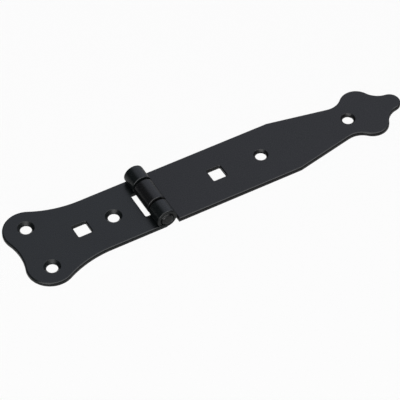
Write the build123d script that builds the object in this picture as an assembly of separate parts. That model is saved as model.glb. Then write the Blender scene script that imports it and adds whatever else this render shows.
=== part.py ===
from build123d import *
from math import asin, degrees, pi, sqrt, tan
import os

# A tee hinge of pressed and rolled sheet: a short leaf with a fish-tail end, a long strap leaf
# with a trefoil head, and the pin that their knuckles turn on.
# Millimetres. The backs of both leaves lie in the plane z = 0 and +Z comes out of their fronts.
# +X points to the tip of the strap. The pin's axis runs along Y, straight over the origin.

# Sheet, pin and knuckles
sheet = 2.0
leaf_width = 35.0
pin_d = 6.0
pin_clearance = 0.31
middle_knuckle = 14.0
end_play = 1.2
wing_gap = 1.2
slot_gap = 1.6
seam_gap = 0.7

# Short leaf, measured from the pin's axis
leaf_reach = 73.2
tail_lobe_r = 12.2
tail_lobe_inset = 4.9
flare_r = 55.0
tail_hollow_r = 27.5
tail_screw_y = 14.0
near_screw_x = 20.3

# Strap leaf: its reach is measured from the pin's axis, and the places in its head from its tip
strap_reach = 144.2
shoulder_back = 68.2
tip_r = 5.5
side_lobe_back = 20.8
side_lobe_y = 7.4
side_lobe_r = 8.8
neck_y = 7.7
neck_r = 10.4
cleft_r = 10.5
head_screw_back = 30.5
mid_screw_back = 81.5

# Holes
bolt_x = 37.5
bolt_square = 7.5
bolt_corner_r = 0.7
bolt_rim = 0.4
screw_d = 5.8
leaf_countersink = 1.4
strap_countersink = 0.9

# Rounded edges and corners
front_edge_r = 0.8
knuckle_rim_r = 0.6
notch_corner_r = 0.8
wing_corner_r = 0.9
bore_edge = 0.5

# Riveted ends of the pin: swollen inside the outer knuckles, then proud of them
rivet_grip = 1.5
rivet_wall = 0.2
rivet_edge = 0.4
rivet_crown = 0.12
rivet_flat_r = 1.4

bore_r = pin_d / 2 + pin_clearance
roll_r = bore_r + sheet
half_width = leaf_width / 2
tongue_y = middle_knuckle / 2
slot_y = tongue_y + end_play
wing_x = roll_r + wing_gap
slot_x = -(roll_r + slot_gap)


def toward(start, target, distance):
    """The point at a distance from start on the way to target."""
    return start + (target - start).normalized() * distance


def arc_about(centre, start, end):
    """The shorter arc from start to end round a centre."""
    halfway = ((start - centre) + (end - centre)).normalized() * (start - centre).length
    return ThreePointArc(start, centre + halfway, end)


def centre_left_of(first, first_distance, second, second_distance):
    """The point at those distances from two others, on the left of the way from first to second."""
    way = second - first
    along = (first_distance**2 - second_distance**2 + way.length**2) / (2 * way.length)
    across = sqrt(first_distance**2 - along**2)
    ahead = way.normalized()
    return first + ahead * along + Vector(-ahead.Y, ahead.X) * across


def fish_tail_outline():
    """Plan of the short leaf: straight sides that flare into two lobes with a hollow between."""
    lobe = Vector(-(leaf_reach - tail_lobe_r), half_width - tail_lobe_inset)
    flare_y = half_width + flare_r
    flare_run = sqrt((flare_r + tail_lobe_r) ** 2 - (flare_y - lobe.Y) ** 2)
    flare = Vector(lobe.X + flare_run, flare_y)
    hollow = Vector(lobe.X - sqrt((tail_hollow_r + tail_lobe_r) ** 2 - lobe.Y**2), 0)
    flare_start = Vector(flare.X, half_width)
    lobe_start = toward(lobe, flare, tail_lobe_r)
    lobe_end = toward(lobe, hollow, tail_lobe_r)
    with BuildSketch() as plan:
        with BuildLine():
            Polyline((0, 0), (0, half_width), flare_start)
            arc_about(flare, flare_start, lobe_start)
            arc_about(lobe, lobe_start, lobe_end)
            arc_about(hollow, lobe_end, hollow + Vector(tail_hollow_r, 0))
            mirror(about=Plane.XZ)
        make_face()
    return plan.sketch


def strap_outline():
    """Plan of the strap: tongue, wings, straight sides, a taper and a trefoil head."""
    shoulder = Vector(strap_reach - shoulder_back, half_width)
    lobe = Vector(strap_reach - side_lobe_back, side_lobe_y)
    tip = Vector(strap_reach - tip_r, 0)
    # the taper aims beside the lobe's centre, and the neck's hollow touches the taper and the lobe
    taper = (Vector(lobe.X, neck_y) - shoulder).normalized()
    outward = Vector(-taper.Y, taper.X)
    offset = shoulder + outward * neck_r
    past_lobe = (offset - lobe).dot(taper)
    spare = (offset - lobe).length ** 2 - (neck_r + side_lobe_r) ** 2
    neck = offset - taper * (past_lobe + sqrt(past_lobe**2 - spare))
    cleft = centre_left_of(lobe, cleft_r + side_lobe_r, tip, cleft_r + tip_r)
    neck_start = neck - outward * neck_r
    lobe_start = toward(lobe, neck, side_lobe_r)
    lobe_end = toward(lobe, cleft, side_lobe_r)
    tip_start = toward(tip, cleft, tip_r)
    with BuildSketch() as plan:
        with BuildLine():
            Polyline(
                (0, 0),
                (0, tongue_y),
                (wing_x, tongue_y),
                (wing_x, half_width),
                shoulder,
                neck_start,
            )
            arc_about(neck, neck_start, lobe_start)
            arc_about(lobe, lobe_start, lobe_end)
            arc_about(cleft, lobe_end, tip_start)
            arc_about(tip, tip_start, Vector(strap_reach, 0))
            mirror(about=Plane.XZ)
        make_face()
        at_wings = plan.vertices().filter_by_position(Axis.X, wing_x, wing_x)
        fillet(at_wings.filter_by(lambda v: abs(v.Y) < slot_y), notch_corner_r)
        at_wings = plan.vertices().filter_by_position(Axis.X, wing_x, wing_x)
        fillet(at_wings.filter_by(lambda v: abs(v.Y) > half_width - sheet), wing_corner_r)
    return plan.sketch


def pressed_sheet(outline):
    """Sheet cut to an outline, with the soft edge that the press leaves round its front."""
    plate = extrude(outline, sheet)
    front = plate.edges().filter_by_position(Axis.Z, sheet, sheet)
    return fillet(front.filter_by(lambda edge: abs(edge.center().X) > 0), front_edge_r)


def rolled_end(width, side):
    """Sheet rolled round the pin: under it, up on the given side, over and down to its seam."""
    tail = degrees(asin((bore_r - seam_gap) / roll_r))
    with BuildSketch(Plane.XZ) as section:
        with BuildLine():
            outside = CenterArc((0, roll_r), roll_r, -90, side * (270 + tail))
            inside = CenterArc((0, roll_r), bore_r, -90, side * (270 + tail))
            Line(outside @ 0, inside @ 0)
            Line(outside @ 1, inside @ 1)
        make_face()
    return extrude(section.sketch, width / 2, both=True)


def soft_rims(barrel):
    """The same knuckle with the outer rims of its ends rounded, in three flats that touch the arc."""
    for flat in (1 - tan(pi / 8), tan(pi / 8) - tan(pi / 16)):
        rims = barrel.edges().filter_by(GeomType.CIRCLE)
        rims = rims.filter_by(lambda edge: edge.radius > roll_r - sheet / 2)
        barrel = chamfer(rims, knuckle_rim_r * flat)
    return barrel


def bore_rim(side):
    """Cone that opens a bore's outer end, where the sheet's inner edge is softened too."""
    wide_end_up = (Align.CENTER, Align.CENTER, Align.MAX)
    return Rot(X=-90 * side) * Cone(bore_r, bore_r + bore_edge, bore_edge, align=wide_end_up)


def screw_hole(depth, x, y=0.0):
    """Hole for a wood screw: a 90 degree countersink of that depth over a straight land."""
    cone = Cone(screw_d / 2, screw_d / 2 + depth, depth)
    straight = Cylinder(screw_d / 2, sheet)
    return Pos(x, y, sheet / 2) * straight + Pos(x, y, sheet - depth / 2) * cone


def bolt_hole(x):
    """Square hole that keeps a coach bolt's neck from turning, with a soft rim on the front."""
    square = RectangleRounded(bolt_square, bolt_square, bolt_corner_r)
    rim = Pos(0, 0, sheet - bolt_rim) * extrude(square, bolt_rim, taper=-45)
    return Pos(x, 0, 0) * (extrude(square, sheet) + rim)


def slot():
    """Opening at the short leaf's rolled end that the strap's tongue and knuckle turn in."""
    length = roll_r + sheet - slot_x
    block = Pos(slot_x + length / 2, 0, roll_r) * Box(length, 2 * slot_y, 2 * (roll_r + sheet))
    return fillet(block.edges().filter_by(Axis.Z).group_by(Axis.X)[0], notch_corner_r)


def make_short_leaf():
    """The leaf for the post: fish-tail sheet, slot and two outer knuckles rolled in one piece."""
    knuckle = soft_rims(rolled_end(half_width - slot_y, 1))
    leaf = pressed_sheet(fish_tail_outline()) - slot()
    for side in (-1, 1):
        leaf += Pos(0, side * (slot_y + half_width) / 2, 0) * knuckle
        leaf -= Pos(0, side * half_width, roll_r) * bore_rim(side)
    lobe_x = -(leaf_reach - tail_lobe_r)
    leaf -= screw_hole(leaf_countersink, -near_screw_x)
    leaf -= bolt_hole(-bolt_x)
    for side in (-1, 1):
        leaf -= screw_hole(leaf_countersink, lobe_x, side * tail_screw_y)
    return leaf


def make_strap_leaf():
    """The leaf for the gate: trefoil sheet whose tongue is rolled into the middle knuckle."""
    leaf = pressed_sheet(strap_outline()) + soft_rims(rolled_end(middle_knuckle, -1))
    leaf -= bolt_hole(bolt_x)
    leaf -= screw_hole(strap_countersink, strap_reach - mid_screw_back)
    leaf -= screw_hole(strap_countersink, strap_reach - head_screw_back)
    return leaf


def make_hinge_pin():
    """Round pin with riveted ends: swollen to fill the outer knuckles, and a little proud of them."""
    pin_r = pin_d / 2
    grip_end = half_width - bore_edge
    grip_start = grip_end - rivet_grip
    wall_end = half_width + rivet_wall
    face = wall_end + rivet_edge
    with BuildSketch(Plane.YZ) as half:
        with BuildLine():
            Polyline(
                (0, 0),
                (0, pin_r),
                (grip_start - pin_clearance, pin_r),
                (grip_start, bore_r),
                (grip_end, bore_r),
                (half_width, pin_r),
                (wall_end, pin_r),
                (face, pin_r - rivet_edge),
                (face + rivet_crown, rivet_flat_r),
                (face + rivet_crown, 0),
                close=True,
            )
        make_face()
    end = Pos(0, 0, roll_r) * revolve(half.sketch, Axis.Y)
    return end + mirror(end, Plane.XZ)


parts = {
    "short_leaf": make_short_leaf(),
    "strap_leaf": make_strap_leaf(),
    "hinge_pin": make_hinge_pin(),
}

os.makedirs("parts", exist_ok=True)
for name, part in parts.items():
    export_step(part, f"parts/{name}.step")
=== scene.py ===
from math import cos, radians, sin

import bpy
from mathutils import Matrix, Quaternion, Vector


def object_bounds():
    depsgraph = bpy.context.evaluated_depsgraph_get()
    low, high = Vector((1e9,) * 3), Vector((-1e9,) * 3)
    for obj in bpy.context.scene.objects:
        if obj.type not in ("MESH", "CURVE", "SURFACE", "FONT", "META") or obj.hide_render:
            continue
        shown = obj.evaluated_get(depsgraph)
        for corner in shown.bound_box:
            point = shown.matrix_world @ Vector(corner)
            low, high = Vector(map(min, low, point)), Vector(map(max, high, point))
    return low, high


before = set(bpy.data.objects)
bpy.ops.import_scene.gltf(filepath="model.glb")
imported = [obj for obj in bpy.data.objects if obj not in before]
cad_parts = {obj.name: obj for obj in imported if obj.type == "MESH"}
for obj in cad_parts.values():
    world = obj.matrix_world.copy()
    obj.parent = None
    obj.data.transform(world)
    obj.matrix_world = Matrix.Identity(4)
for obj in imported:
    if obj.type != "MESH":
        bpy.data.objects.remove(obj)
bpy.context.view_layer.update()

# The camera looks down on the front of the hinge from its near side, past the short leaf.
# It stands over a metre away with a long lens, so the two leaves hardly narrow with distance.
azimuth = radians(-29.44)
elevation = radians(47.85)
camera_distance = 1.161
aim = Vector((0.0223, -0.0100, 0.0))
photo_width_px = 400
focal_length_px = 2368.0
camera = bpy.data.cameras.new("camera")
camera.sensor_width = 36.0
camera.lens = focal_length_px * camera.sensor_width / photo_width_px
camera.clip_start = 0.05
camera.clip_end = 20.0
camera_stand = bpy.data.objects.new("camera", camera)
towards_camera = Vector((sin(azimuth) * cos(elevation), -cos(azimuth) * cos(elevation), sin(elevation)))
camera_stand.location = aim + towards_camera * camera_distance
camera_stand.rotation_euler = (radians(90) - elevation, 0, azimuth)
bpy.context.scene.collection.objects.link(camera_stand)
bpy.context.scene.camera = camera_stand

# The short leaf, for the post: one piece of pressed steel sheet with a fish-tail end.
# Its other end is rolled into the two outer knuckles, and all of it has a satin black powder coat.
coat_shade = 0.0048
coat_sheen = 0.28
coat_roughness = 0.28
gloss_spread = 0.05
cloud_scale = 45.0
cloud_contrast = 0.14
peel_scale = 1500.0
peel_strength = 0.35
peel_depth = 0.00004
edge_rounding = 0.00025
leaf_tint = (0.78, 1.0, 1.05)


def powder_coat(name, tint):
    """Satin black powder coat: cloudy tone, an orange-peel skin and edges that look rounded."""
    coat = bpy.data.materials.new(name)
    coat.use_nodes = True
    nodes = coat.node_tree.nodes
    links = coat.node_tree.links
    shader = nodes["Principled BSDF"]
    shader.inputs["Specular IOR Level"].default_value = coat_sheen
    place = nodes.new("ShaderNodeTexCoord")

    clouds = nodes.new("ShaderNodeTexNoise")
    clouds.inputs["Scale"].default_value = cloud_scale
    clouds.inputs["Detail"].default_value = 5.0
    clouds.inputs["Roughness"].default_value = 0.6
    links.new(place.outputs["Object"], clouds.inputs["Vector"])
    tone = nodes.new("ShaderNodeValToRGB")
    darkest, palest = tone.color_ramp.elements
    darkest.position = 0.3
    darkest.color = [coat_shade * (1 - cloud_contrast) * share for share in tint] + [1.0]
    palest.position = 0.7
    palest.color = [coat_shade * (1 + cloud_contrast) * share for share in tint] + [1.0]
    links.new(clouds.outputs["Fac"], tone.inputs["Fac"])
    links.new(tone.outputs["Color"], shader.inputs["Base Color"])

    grain = nodes.new("ShaderNodeTexNoise")
    grain.inputs["Scale"].default_value = peel_scale
    grain.inputs["Detail"].default_value = 3.0
    links.new(place.outputs["Object"], grain.inputs["Vector"])
    gloss = nodes.new("ShaderNodeMapRange")
    gloss.inputs["To Min"].default_value = coat_roughness - gloss_spread
    gloss.inputs["To Max"].default_value = coat_roughness + gloss_spread
    links.new(grain.outputs["Fac"], gloss.inputs["Value"])
    links.new(gloss.outputs["Result"], shader.inputs["Roughness"])

    edges = nodes.new("ShaderNodeBevel")
    edges.samples = 6
    edges.inputs["Radius"].default_value = edge_rounding
    peel = nodes.new("ShaderNodeBump")
    peel.inputs["Strength"].default_value = peel_strength
    peel.inputs["Distance"].default_value = peel_depth
    links.new(grain.outputs["Fac"], peel.inputs["Height"])
    links.new(edges.outputs["Normal"], peel.inputs["Normal"])
    links.new(peel.outputs["Normal"], shader.inputs["Normal"])
    return coat


short_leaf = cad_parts["short_leaf"]
short_leaf.material_slots[0].material = powder_coat("leaf_powder_coat", leaf_tint)

# The strap leaf, for the gate: one piece of the same sheet, tapered to a trefoil head.
# Its tongue is rolled into the middle knuckle, between the outer two, and it has the same coat.
strap_tint = (0.98, 1.0, 1.08)
strap_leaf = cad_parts["strap_leaf"]
strap_leaf.material_slots[0].material = powder_coat("strap_powder_coat", strap_tint)

# The hinge pin: round steel bar through the three knuckles, riveted over at both ends.
# Only its two ends show, under the same coat as the knuckles round them.
pin_tint = (0.88, 1.0, 1.06)
hinge_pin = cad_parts["hinge_pin"]
hinge_pin.material_slots[0].material = powder_coat("pin_powder_coat", pin_tint)

# The table that the hinge lies on with its back flat: plain matt card, in the white room.
# The camera sees the room's white through it, with a little of the hinge's shadow, so a leaf that
# is turned back below the table still shows. The coat mirrors it only as dim as a table in shade.
card_width = 6.0
card_gap = 0.0001
card_grey = (0.5, 0.5, 0.5, 1.0)
white = (1.0, 1.0, 1.0, 1.0)
clear_share = 0.95
mirrored_glow = 0.2
hinge_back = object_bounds()[0].z
card_mesh = bpy.data.meshes.new("white_card")
card_corners = []
for x, y in ((-1, -1), (1, -1), (1, 1), (-1, 1)):
    card_corners.append((x * card_width / 2, y * card_width / 2, hinge_back - card_gap))
card_mesh.from_pydata(card_corners, [], [(0, 1, 2, 3)])
card = bpy.data.objects.new("white_card", card_mesh)
bpy.context.scene.collection.objects.link(card)


def combine(tree, operation, first, second):
    """The result of a sum on two values, each of them a number or another node's output."""
    step = tree.nodes.new("ShaderNodeMath")
    step.operation = operation
    for value, socket in zip((first, second), step.inputs):
        if isinstance(value, float):
            socket.default_value = value
        else:
            tree.links.new(value, socket)
    return step.outputs[0]


card_stock = bpy.data.materials.new("white_card")
card_stock.use_nodes = True
card_tree = card_stock.node_tree
card_tree.nodes.clear()
matt = card_tree.nodes.new("ShaderNodeBsdfDiffuse")
matt.inputs["Color"].default_value = card_grey
glow = card_tree.nodes.new("ShaderNodeEmission")
glow.inputs["Color"].default_value = white
glow.inputs["Strength"].default_value = 1.0
clear = card_tree.nodes.new("ShaderNodeBsdfTransparent")
card_ray = card_tree.nodes.new("ShaderNodeLightPath").outputs
glow_mirrored = combine(card_tree, "MULTIPLY", card_ray["Is Glossy Ray"], mirrored_glow)
glowing = combine(card_tree, "MAXIMUM", card_ray["Is Transmission Ray"], glow_mirrored)
seen_through = combine(card_tree, "MULTIPLY", card_ray["Is Camera Ray"], clear_share)
card_face = matt.outputs["BSDF"]
for layer, share in ((glow.outputs["Emission"], glowing), (clear.outputs["BSDF"], seen_through)):
    blend = card_tree.nodes.new("ShaderNodeMixShader")
    card_tree.links.new(share, blend.inputs["Fac"])
    card_tree.links.new(card_face, blend.inputs[1])
    card_tree.links.new(layer, blend.inputs[2])
    card_face = blend.outputs["Shader"]
card_output = card_tree.nodes.new("ShaderNodeOutputMaterial")
card_tree.links.new(card_face, card_output.inputs["Surface"])
card_mesh.materials.append(card_stock)

# The room: plain white to the camera and through glass, and a dim even light on the things in it.
# In reflections it is a cool white overhead and on the far right, and dims towards its other walls.
room_light = 0.045
cool_white = (0.95, 1.0, 1.16, 1.0)
lit_way = Vector((0.56, 0.45, 0.70)).normalized()
lit_inside = radians(27)
dim_outside = radians(50)
room = bpy.data.worlds.new("white_room")
room.use_nodes = True
room_tree = room.node_tree
walls = room_tree.nodes["Background"]
looking = room_tree.nodes.new("ShaderNodeTexCoord")
towards_lit = room_tree.nodes.new("ShaderNodeVectorMath")
towards_lit.operation = "DOT_PRODUCT"
towards_lit.inputs[1].default_value = lit_way
room_tree.links.new(looking.outputs["Generated"], towards_lit.inputs[0])
lit_part = room_tree.nodes.new("ShaderNodeMapRange")
lit_part.inputs["From Min"].default_value = cos(dim_outside)
lit_part.inputs["From Max"].default_value = cos(lit_inside)
room_tree.links.new(towards_lit.outputs["Value"], lit_part.inputs["Value"])
room_ray = room_tree.nodes.new("ShaderNodeLightPath").outputs
lit_mirrored = combine(room_tree, "MULTIPLY", room_ray["Is Glossy Ray"], lit_part.outputs["Result"])
seen = combine(room_tree, "MAXIMUM", room_ray["Is Camera Ray"], room_ray["Is Transmission Ray"])
shown = combine(room_tree, "MAXIMUM", seen, lit_mirrored)
dimmer = room_tree.nodes.new("ShaderNodeMapRange")
dimmer.inputs["To Min"].default_value = room_light
dimmer.inputs["To Max"].default_value = 1.0
room_tree.links.new(shown, dimmer.inputs["Value"])
room_tree.links.new(dimmer.outputs["Result"], walls.inputs["Strength"])
tinge = room_tree.nodes.new("ShaderNodeValToRGB")
tinge.color_ramp.elements[0].color = white
tinge.color_ramp.elements[1].color = cool_white
room_tree.links.new(room_ray["Is Glossy Ray"], tinge.inputs["Fac"])
room_tree.links.new(tinge.outputs["Color"], walls.inputs["Color"])
bpy.context.scene.world = room


# Three soft boxes. The key box overhead lights colours, and the wider sheen box there is what the
# coat mirrors. Its right end is turned back, so the countersinks stay dark on their left side too.
# The left box stands low, and draws the knuckles' rims.
def soft_box(name, width, depth, watts, direction, distance, turned=0.0):
    """A rectangular lamp that stands off along a direction and is turned by degrees about it."""
    lamp = bpy.data.lights.new(name, "AREA")
    lamp.shape = "RECTANGLE"
    lamp.size = width
    lamp.size_y = depth
    lamp.energy = watts
    stand = bpy.data.objects.new(name, lamp)
    way = Vector(direction).normalized()
    stand.location = aim + way * distance
    facing = way.to_track_quat("Z", "Y") @ Quaternion((0.0, 0.0, 1.0), radians(turned))
    stand.rotation_euler = facing.to_euler()
    bpy.context.scene.collection.objects.link(stand)
    return stand


key_box = soft_box(
    "key_box",
    width=1.6,
    depth=1.2,
    watts=17.0,
    direction=(-0.10, -0.40, 0.90),
    distance=1.3,
)
key_box.visible_glossy = False
sheen_box = soft_box(
    "sheen_box",
    width=2.4,
    depth=1.32,
    watts=33.0,
    direction=(0.02, -0.30, 0.954),
    distance=1.2,
    turned=18,
)
sheen_box.visible_diffuse = False
soft_box(
    "left_box",
    width=0.97,
    depth=0.62,
    watts=8.5,
    direction=(-0.79, -0.61, 0.30),
    distance=1.2,
)

bpy.context.scene.view_settings.view_transform = "Standard"
